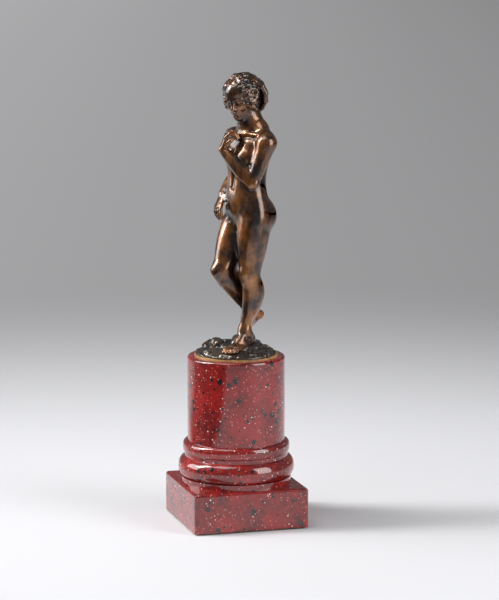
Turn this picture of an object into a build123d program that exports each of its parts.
"""A small bronze statuette of a standing classical figure, on a turned and painted wooden socle.

Frame: +Z up, origin on the table under the centre of the square plinth, millimetres.
The figure faces -Y, and +X is on its left. Everything in the socle is centred on the Z axis.

The bronze is two castings: the figure, whose feet end in tangs, and the ground that it stands on.
One threaded rod clamps the ground, the column drum, the base moulding and the plinth together.
"""

import os
from math import cos, radians, sin

from build123d import *

# ---------------------------------------------------------------- socle, driving dimensions
PLINTH_SIDE = 60.0
PLINTH_HEIGHT = 20.2
PLINTH_EDGE = 1.4
PAD_THICKNESS = 0.8
PAD_INSET = 1.5
MOULDING_HEIGHT = 21.6
FILLET_RADIUS, FILLET_HEIGHT = 28.3, 2.6
TORUS_RADIUS, TORUS_HEIGHT = 29.9, 11.0
NECK_RADIUS = 26.6
ASTRAGAL_RADIUS, ASTRAGAL_HEIGHT = 27.5, 6.6
DRUM_RADIUS = 25.0
DRUM_TOP = 86.5
DRUM_EDGE = 1.3
SOCKET_DEPTH = 4.0
JOINT_GAP = 0.05

# ---------------------------------------------------------------- fixings
ROD_RADIUS = 2.0
ROD_BORE = 2.3
WELL_RADIUS, WELL_DEPTH = 8.5, 8.0
WASHER_RADIUS, WASHER_THICKNESS = 7.0, 1.2
NUT_ACROSS_FLATS, NUT_HEIGHT = 7.0, 3.2
DOWEL_RADIUS, DOWEL_LENGTH, DOWEL_CIRCLE = 2.5, 14.0, 15.0
BOSS_RADIUS, BOSS_DEPTH = 5.5, 6.0
BOSS_WELL_GAP = 0.4

# ---------------------------------------------------------------- ground casting
BEDDING_THICKNESS = 0.8
GROUND_RADIUS = 21.0
GROUND_RIM = 1.2
GROUND_WALL = 2.2
SEAT_HEIGHT = 5.0
TANG_RADIUS, TANG_GAP = 1.6, 0.03
TOE_TANG_RADIUS, TOE_TANG_LENGTH = 0.8, 2.6
TANG_NUT_RADIUS, TANG_NUT_HEIGHT = 2.9, 1.4
BEDDING_SPREAD = 0.4
TOE_ROCK_RADIUS = 3.0
ROCKS = [((6.0, -14.6, 87.6), 4.4), ((-8.6, -9.8, 88.2), 6.2), ((-5.4, 11.4, 88.6), 5.6), ((-13.2, 2.6, 88.0), 4.8)]

plinth_bottom = PAD_THICKNESS
plinth_top = plinth_bottom + PLINTH_HEIGHT
moulding_top = plinth_top + MOULDING_HEIGHT
drum_bottom = moulding_top - SOCKET_DEPTH
ground_bottom = DRUM_TOP + BEDDING_THICKNESS
seat_z = ground_bottom + SEAT_HEIGHT
tang_seat_z = seat_z - GROUND_WALL

# ---------------------------------------------------------------- the figure's armature: the places of its joints
PELVIS_TURN, CHEST_TURN, HEAD_TURN = 16.0, 24.0, 33.0
PELVIS, CHEST = Vector(0.9, 5.2, 160.0), Vector(1.5, 5.4, 190.6)
HIP_L, HIP_R = Vector(8.2, 7.0, 160.5), Vector(-6.8, 3.4, 157.5)
KNEE_L, KNEE_R = Vector(8.2, 4.6, 129.5), Vector(-0.4, -7.8, 130.5)
ANKLE_L, ANKLE_R = Vector(5.6, 4.0, 98.5), Vector(-5.4, 11.0, 106.8)
BALL_L, BALL_R = Vector(14.0, -5.0, 93.6), Vector(-1.6, 2.6, 97.4)
TOE_L, TOE_R = Vector(16.8, -8.2, 93.2), Vector(-0.3, -0.6, 96.2)
HEEL_L, HEEL_R = Vector(4.2, 6.6, 94.4), Vector(-6.9, 14.2, 105.6)
SHOULDER_L, SHOULDER_R = Vector(13.6, 11.0, 197.0), Vector(-11.2, 1.6, 197.8)
ELBOW_L, ELBOW_R = Vector(14.9, 2.6, 176.6), Vector(-14.6, 4.4, 176.6)
WRIST_L, WRIST_R = Vector(4.4, -7.6, 191.4), Vector(-3.6, -8.6, 168.2)
KNUCKLE_L, KNUCKLE_R = Vector(3.9, -6.4, 198.0), Vector(-0.6, -11.2, 161.6)
TIP_L, TIP_R = Vector(6.2, -1.2, 200.6), Vector(1.6, -9.2, 155.8)
BUN = Vector(-0.8, 10.4, 219.0)
toe_rock_top = TOE_R.Z - 1.0


def turned(profile_points):
    """A solid turned about the Z axis from a closed outline in the XZ plane."""
    outline = make_face(Polyline(*profile_points, close=True))
    return revolve(Plane.XZ * outline, Axis.Z, 360)


def rod_along_z(radius, low, high, x=0.0, y=0.0):
    """A plain round bar from height low to height high."""
    return Pos(x, y, (low + high) / 2) * Cylinder(radius, high - low)


def round_bead(centre_radius, outer_radius, low, high):
    """The half-round profile of a torus moulding, as a solid ring about the Z axis."""
    middle = (low + high) / 2
    inner, reach = centre_radius, outer_radius - centre_radius
    edge = Edge.make_spline(
        [
            (inner, 0, low),
            (inner + 0.72 * reach, 0, low + 0.12 * (high - low)),
            (outer_radius, 0, middle),
            (inner + 0.72 * reach, 0, high - 0.12 * (high - low)),
            (inner, 0, high),
        ]
    )
    back = Polyline((inner, 0, high), (0, 0, high), (0, 0, low), (inner, 0, low))
    return revolve(make_face(Wire([edge, *back.edges()])), Axis.Z, 360)


def dowel_places():
    """The two dowels in each joint stand on opposite sides of the rod."""
    return [(DOWEL_CIRCLE * cos(a), DOWEL_CIRCLE * sin(a)) for a in (radians(30), radians(210))]


# ---------------------------------------------------------------- socle pieces
def plinth_block():
    block = Pos(0, 0, plinth_bottom) * Box(
        PLINTH_SIDE, PLINTH_SIDE, PLINTH_HEIGHT, align=(Align.CENTER, Align.CENTER, Align.MIN)
    )
    sharp = block.edges().filter_by(Axis.Z) + block.edges().group_by(Axis.Z)[-1]
    block = fillet(sharp, PLINTH_EDGE)
    block -= rod_along_z(ROD_BORE, plinth_bottom - 1, plinth_top + 1)
    block -= rod_along_z(WELL_RADIUS, plinth_bottom - 1, plinth_bottom + WELL_DEPTH)
    for x, y in dowel_places():
        block -= rod_along_z(DOWEL_RADIUS + JOINT_GAP, plinth_top - DOWEL_LENGTH / 2, plinth_top + 1, x, y)
    return block


def base_moulding():
    torus_low = plinth_top + FILLET_HEIGHT
    torus_high = torus_low + TORUS_HEIGHT
    astragal_low = moulding_top - ASTRAGAL_HEIGHT
    ring = rod_along_z(NECK_RADIUS, plinth_top, moulding_top - 0.6)
    ring += rod_along_z(FILLET_RADIUS, plinth_top, torus_low + 0.4)
    ring += round_bead(NECK_RADIUS - 1.5, TORUS_RADIUS, torus_low, torus_high)
    ring += round_bead(NECK_RADIUS - 1.0, ASTRAGAL_RADIUS, astragal_low, moulding_top)
    ring -= rod_along_z(DRUM_RADIUS + JOINT_GAP, drum_bottom, moulding_top + 1)
    ring -= rod_along_z(ROD_BORE, plinth_top - 1, moulding_top)
    for x, y in dowel_places():
        ring -= rod_along_z(DOWEL_RADIUS + JOINT_GAP, plinth_top - 1, plinth_top + DOWEL_LENGTH / 2, x, y)
        ring -= rod_along_z(DOWEL_RADIUS + JOINT_GAP, drum_bottom - DOWEL_LENGTH / 2, drum_bottom + 1, -y, x)
    return ring


def column_drum():
    drum = rod_along_z(DRUM_RADIUS, drum_bottom, DRUM_TOP)
    drum = fillet(drum.edges().group_by(Axis.Z)[-1], DRUM_EDGE)
    drum -= rod_along_z(ROD_BORE, drum_bottom - 1, DRUM_TOP + 1)
    drum -= rod_along_z(BOSS_RADIUS + BOSS_WELL_GAP, DRUM_TOP - BOSS_DEPTH - BOSS_WELL_GAP, DRUM_TOP + 1)
    for x, y in dowel_places():
        drum -= rod_along_z(DOWEL_RADIUS + JOINT_GAP, drum_bottom - 1, drum_bottom + DOWEL_LENGTH / 2, -y, x)
    return drum


def dowels(joint_z, turned_quarter):
    """Two wooden dowels across one joint of the socle, with a little air left at each end."""
    half = DOWEL_LENGTH / 2 - 0.3
    places = [(-y, x) if turned_quarter else (x, y) for x, y in dowel_places()]
    return Compound([rod_along_z(DOWEL_RADIUS, joint_z - half, joint_z + half, x, y) for x, y in places])


def baize_pad():
    side = PLINTH_SIDE - 2 * PAD_INSET
    pad = Box(side, side, PAD_THICKNESS, align=(Align.CENTER, Align.CENTER, Align.MIN))
    pad = fillet(pad.edges().filter_by(Axis.Z), 1.0)
    return pad


# ---------------------------------------------------------------- fixings
def tie_rod():
    low = plinth_bottom + WELL_DEPTH - WASHER_THICKNESS - NUT_HEIGHT - 1.5
    return chamfer(
        rod_along_z(ROD_RADIUS, low, ground_bottom + GROUND_RIM).edges().filter_by(GeomType.CIRCLE), 0.3
    )


def rod_washer():
    high = plinth_bottom + WELL_DEPTH
    ring = rod_along_z(WASHER_RADIUS, high - WASHER_THICKNESS, high)
    return ring - rod_along_z(ROD_RADIUS + 0.2, high - 5, high + 1)


def rod_nut():
    high = plinth_bottom + WELL_DEPTH - WASHER_THICKNESS
    hexagon = RegularPolygon(NUT_ACROSS_FLATS / 2, 6, major_radius=False)
    nut = Pos(0, 0, high - NUT_HEIGHT) * extrude(hexagon, NUT_HEIGHT)
    return nut - rod_along_z(ROD_RADIUS + TANG_GAP, high - 6, high + 1)


def tang_place():
    """The standing foot's tang goes down under its arch."""
    return HEEL_L + (BALL_L - HEEL_L) * 0.42


def tang_nut():
    at = tang_place()
    nut = rod_along_z(TANG_NUT_RADIUS, tang_seat_z - TANG_NUT_HEIGHT, tang_seat_z, at.X, at.Y)
    return nut - rod_along_z(TANG_RADIUS + TANG_GAP, ground_bottom - 1, seat_z, at.X, at.Y)


# ---------------------------------------------------------------- bronze
def ball(centre, radius):
    return Pos(*centre) * Sphere(radius)


def across(axis):
    """Some direction at right angles to axis."""
    helper = Vector(0, 0, 1) if abs(Vector(axis).normalized().Z) < 0.9 else Vector(0, 1, 0)
    return Vector(axis).cross(helper).normalized()


def limb(stations, wide_dir):
    """A soft tapering limb through stations of (centre, half width, half depth), wide along wide_dir."""
    centres = [s[0] for s in stations]
    sections = []
    for i, (centre, wide, deep) in enumerate(stations):
        ahead = centres[min(i + 1, len(centres) - 1)] - centres[max(i - 1, 0)]
        along = ahead.normalized()
        side = (wide_dir - along * wide_dir.dot(along)).normalized()
        sections.append(Plane(origin=centre, x_dir=side, z_dir=along) * Ellipse(wide, deep))
    return loft(sections)


def between(a, b, share, shift=Vector(0, 0, 0)):
    """The point a given share of the way from a to b, moved by shift."""
    return a + (b - a) * share + shift


def torso():
    """Pelvis to crown in one loft; each row is height, centre x, y, half width, half depth, turn."""
    rows = [
        (151.5, 1.5, 5.6, 8.0, 7.0, 16),
        (155.0, 1.1, 6.0, 12.4, 9.6, 16),
        (160.5, 0.8, 6.2, 15.0, 11.6, 16),
        (167.0, 1.0, 5.3, 13.8, 10.4, 18),
        (176.0, 1.5, 4.9, 10.6, 8.6, 20),
        (184.0, 1.6, 5.4, 11.6, 8.6, 22),
        (192.0, 1.4, 5.9, 13.2, 8.6, 24),
        (198.0, 1.2, 6.4, 12.0, 7.0, 24),
        (202.0, 1.1, 6.6, 7.4, 5.2, 24),
        (205.0, 1.3, 6.4, 4.9, 4.7, 26),
        (208.5, 2.0, 5.9, 4.4, 4.8, 30),
        (211.8, 3.4, 3.8, 4.8, 6.4, 33),
        (215.5, 3.5, 3.4, 6.9, 8.8, 33),
        (220.0, 3.3, 3.5, 8.4, 10.0, 33),
        (224.5, 3.1, 3.7, 8.8, 10.2, 33),
        (228.5, 2.9, 3.9, 6.8, 7.8, 33),
        (231.2, 2.8, 4.1, 3.0, 3.4, 33),
    ]
    sections = []
    for z, x, y, wide, deep, turn in rows:
        sections.append(Plane(origin=(x, y, z), x_dir=left_of(turn), z_dir=(0, 0, 1)) * Ellipse(wide, deep))
    return loft(sections)


def thigh_stations(hip, knee):
    """Centre, half width and half depth down a thigh."""
    return [
        (between(hip, knee, -0.02), 6.2, 6.6),
        (between(hip, knee, 0.1), 6.9, 7.4),
        (between(hip, knee, 0.25), 7.3, 8.1),
        (between(hip, knee, 0.45), 6.9, 7.8),
        (between(hip, knee, 0.68), 6.1, 6.7),
        (between(hip, knee, 0.88), 5.3, 5.7),
    ]


def shin_stations(knee, ankle, calf_dir):
    """The same down a lower leg, whose calf swells towards calf_dir."""
    return [
        (between(knee, ankle, 0.1), 4.8, 5.2),
        (between(knee, ankle, 0.3, calf_dir * 1.0), 5.0, 5.7),
        (between(knee, ankle, 0.55, calf_dir * 0.6), 4.2, 4.6),
        (between(knee, ankle, 0.85), 2.7, 3.0),
        (between(knee, ankle, 1.0), 2.8, 3.0),
        (between(knee, ankle, 1.1), 2.5, 2.7),
    ]


def straight_leg(hip, knee, ankle, wide_dir, calf_dir):
    """The standing leg in one loft."""
    return [limb(thigh_stations(hip, knee) + shin_stations(knee, ankle, calf_dir), wide_dir)]


def bent_leg(hip, knee, ankle, wide_dir, calf_dir):
    """The free leg in two lofts, which overlap in the bent knee."""
    thigh = thigh_stations(hip, knee) + [(between(hip, knee, 1.06), 4.6, 4.8)]
    shin = [(between(knee, ankle, -0.12), 4.4, 4.8)] + shin_stations(knee, ankle, calf_dir)
    return [limb(thigh, wide_dir), limb(shin, wide_dir)]


def foot(heel, ankle, tread, toe):
    """The ankle's lump, and heel, instep and toes as one loft along the sole."""
    along = (tread - heel).normalized()
    body = limb(
        [
            (heel - along * 1.6, 1.4, 1.2),
            (heel, 2.6, 2.6),
            (between(heel, tread, 0.4) + Vector(0, 0, 0.9), 2.8, 3.2),
            (between(heel, tread, 0.8), 3.5, 2.4),
            (tread, 3.9, 1.9),
            (toe, 3.3, 1.3),
        ],
        across(along),
    )
    return ball(between(ankle, heel, 0.25), 3.1), body


def arm(shoulder, elbow, wrist):
    """Upper arm and forearm, each a loft, which overlap in the elbow."""
    wide = across(elbow - shoulder)
    upper = limb(
        [
            (between(shoulder, elbow, -0.14), 3.2, 3.2),
            (between(shoulder, elbow, 0.0), 4.6, 4.7),
            (between(shoulder, elbow, 0.3), 4.2, 4.4),
            (between(shoulder, elbow, 0.75), 3.5, 3.5),
            (between(shoulder, elbow, 1.08), 2.9, 2.9),
        ],
        wide,
    )
    fore = limb(
        [
            (between(elbow, wrist, -0.12), 2.4, 2.4),
            (between(elbow, wrist, 0.05), 3.3, 3.2),
            (between(elbow, wrist, 0.3), 3.7, 3.4),
            (between(elbow, wrist, 0.7), 2.8, 2.6),
            (between(elbow, wrist, 1.05), 2.1, 1.9),
        ],
        wide,
    )
    return upper, fore


def hand(wrist, knuckle, tip):
    """A closed mitten: palm and fingers, without the gaps between them."""
    wide = across(knuckle - wrist)
    palm = limb(
        [
            (between(wrist, knuckle, -0.25), 1.8, 1.5),
            (between(wrist, knuckle, 0.45), 3.1, 1.7),
            (between(wrist, knuckle, 1.1), 3.0, 1.4),
        ],
        wide,
    )
    fingers = limb(
        [(between(knuckle, tip, -0.15), 2.9, 1.3), (between(knuckle, tip, 0.5), 2.7, 1.1), (tip, 1.7, 0.8)],
        wide,
    )
    return palm, fingers


def left_of(turn):
    """The level direction to the left of someone who faces -Y and has turned that many degrees to +X."""
    return Vector(cos(radians(turn)), sin(radians(turn)), 0)


def in_front_of(turn):
    return Vector(sin(radians(turn)), -cos(radians(turn)), 0)


def fused(body, pieces):
    """Every piece welded to the ones before it; each must join them and add some bronze."""
    for number, piece in enumerate(pieces, start=1):
        joined = body + piece
        if len(joined.solids()) != 1 or joined.volume <= body.volume:
            raise ValueError(f"piece {number} of the casting doesn't join the others")
        body = joined
    return body


def trunk_swellings():
    """Breasts, and the knot of hair behind the head."""
    breasts = [
        CHEST + in_front_of(CHEST_TURN) * 6.2 + left_of(CHEST_TURN) * 5.6 * side for side in (-1, 1)
    ]
    return [*(ball(place, 4.3) for place in breasts), ball(BUN, 5.2)]


def figure():
    """The figure: one casting, with a tang under the standing foot and one under the free foot's toes."""
    left = left_of(PELVIS_TURN)
    back = in_front_of(PELVIS_TURN) * -1
    body = fused(
        torso(),
        [
            *trunk_swellings(),
            *straight_leg(HIP_L, KNEE_L, ANKLE_L, left, back),
            *foot(HEEL_L, ANKLE_L, BALL_L, TOE_L),
            *bent_leg(HIP_R, KNEE_R, ANKLE_R, left, back),
            *foot(HEEL_R, ANKLE_R, BALL_R, TOE_R),
            ball(SHOULDER_L, 5.2),
            ball(SHOULDER_R, 5.2),
            *arm(SHOULDER_L, ELBOW_L, WRIST_L),
            *arm(SHOULDER_R, ELBOW_R, WRIST_R),
            *hand(WRIST_L, KNUCKLE_L, TIP_L),
            *hand(WRIST_R, KNUCKLE_R, TIP_R),
        ],
    )
    body -= slab_below(seat_z, 100, 0, 0)
    body -= slab_below(toe_rock_top, 7, *toe_place())
    at = tang_place()
    body += rod_along_z(TANG_RADIUS, ground_bottom + 0.2, seat_z + 1.0, at.X, at.Y)
    body += rod_along_z(TOE_TANG_RADIUS, toe_rock_top - TOE_TANG_LENGTH, toe_rock_top + 1.0, *toe_place())
    return body


def slab_below(height, side, x, y):
    """A square block whose top face is at height, to cut a sole flat."""
    return Pos(x, y, height) * Box(side, side, 8, align=(Align.CENTER, Align.CENTER, Align.MAX))


def toe_place():
    """The free foot's toes press on a small rock behind the standing foot."""
    at = between(BALL_R, TOE_R, 0.4)
    return at.X, at.Y


def ground():
    """The ground the figure stands on: a thin domed casting with rocks on it and a tapped boss below."""
    slope = turned(
        [
            (0, ground_bottom),
            (GROUND_RADIUS, ground_bottom),
            (GROUND_RADIUS - 0.3, ground_bottom + GROUND_RIM),
            (GROUND_RADIUS - 4.5, ground_bottom + 0.72 * SEAT_HEIGHT),
            (GROUND_RADIUS - 9.0, seat_z),
            (0, seat_z),
        ]
    )
    hollow = turned(
        [
            (BOSS_RADIUS, ground_bottom - 1),
            (GROUND_RADIUS - GROUND_WALL, ground_bottom - 1),
            (GROUND_RADIUS - GROUND_WALL - 3.5, ground_bottom + 0.72 * SEAT_HEIGHT - GROUND_WALL + 0.4),
            (BOSS_RADIUS, seat_z - GROUND_WALL),
        ]
    )
    body = slope
    for place, radius in ROCKS:
        body += ball(place, radius)
    body -= slab_below(ground_bottom, 100, 0, 0)
    body -= hollow
    body += rod_along_z(BOSS_RADIUS, DRUM_TOP - BOSS_DEPTH, seat_z - GROUND_WALL / 2)
    body += rod_along_z(TOE_ROCK_RADIUS, seat_z - 1, toe_rock_top, *toe_place())
    body -= Pos(0, 0, seat_z) * sole_room()
    body -= rod_along_z(ROD_RADIUS + TANG_GAP, DRUM_TOP - BOSS_DEPTH - 1, ground_bottom + GROUND_RIM + 0.6)
    at = tang_place()
    body -= rod_along_z(TANG_RADIUS + TANG_GAP, ground_bottom - 1, seat_z + 1, at.X, at.Y)
    body -= rod_along_z(TANG_NUT_RADIUS + 0.3, ground_bottom - 1, tang_seat_z, at.X, at.Y)
    body -= rod_along_z(
        TOE_TANG_RADIUS + TANG_GAP, toe_rock_top - TOE_TANG_LENGTH - 0.1, toe_rock_top + 1, *toe_place()
    )
    return body


def sole_room():
    """The space above the seat that the standing foot fills, kept clear of rocks."""
    middle = between(HEEL_L, TOE_L, 0.5)
    along = TOE_L - HEEL_L
    room = Box(along.length + 6.0, 10.5, 12, align=(Align.CENTER, Align.CENTER, Align.MIN))
    return Plane(origin=(middle.X, middle.Y, 0), x_dir=(along.X, along.Y, 0), z_dir=(0, 0, 1)) * room


def bedding():
    """The thin bed of tinted wax between the bronze and the wood."""
    low = DRUM_TOP
    ring = rod_along_z(GROUND_RADIUS + BEDDING_SPREAD, low, ground_bottom)
    return ring - rod_along_z(BOSS_RADIUS + BOSS_WELL_GAP, low - 1, ground_bottom + 1)


PIECES = {
    "figure": figure,
    "plinth_block": plinth_block,
    "base_moulding": base_moulding,
    "column_drum": column_drum,
    "plinth_dowels": lambda: dowels(plinth_top, False),
    "drum_dowels": lambda: dowels(drum_bottom, True),
    "baize_pad": baize_pad,
    "tie_rod": tie_rod,
    "rod_washer": rod_washer,
    "rod_nut": rod_nut,
    "tang_nut": tang_nut,
    "ground": ground,
    "bedding": bedding,
}

os.makedirs("parts", exist_ok=True)
for name, make in PIECES.items():
    shape = make()
    export_step(shape, f"parts/{name}.step")
    print(name, round(shape.volume, 1), shape.bounding_box().size)
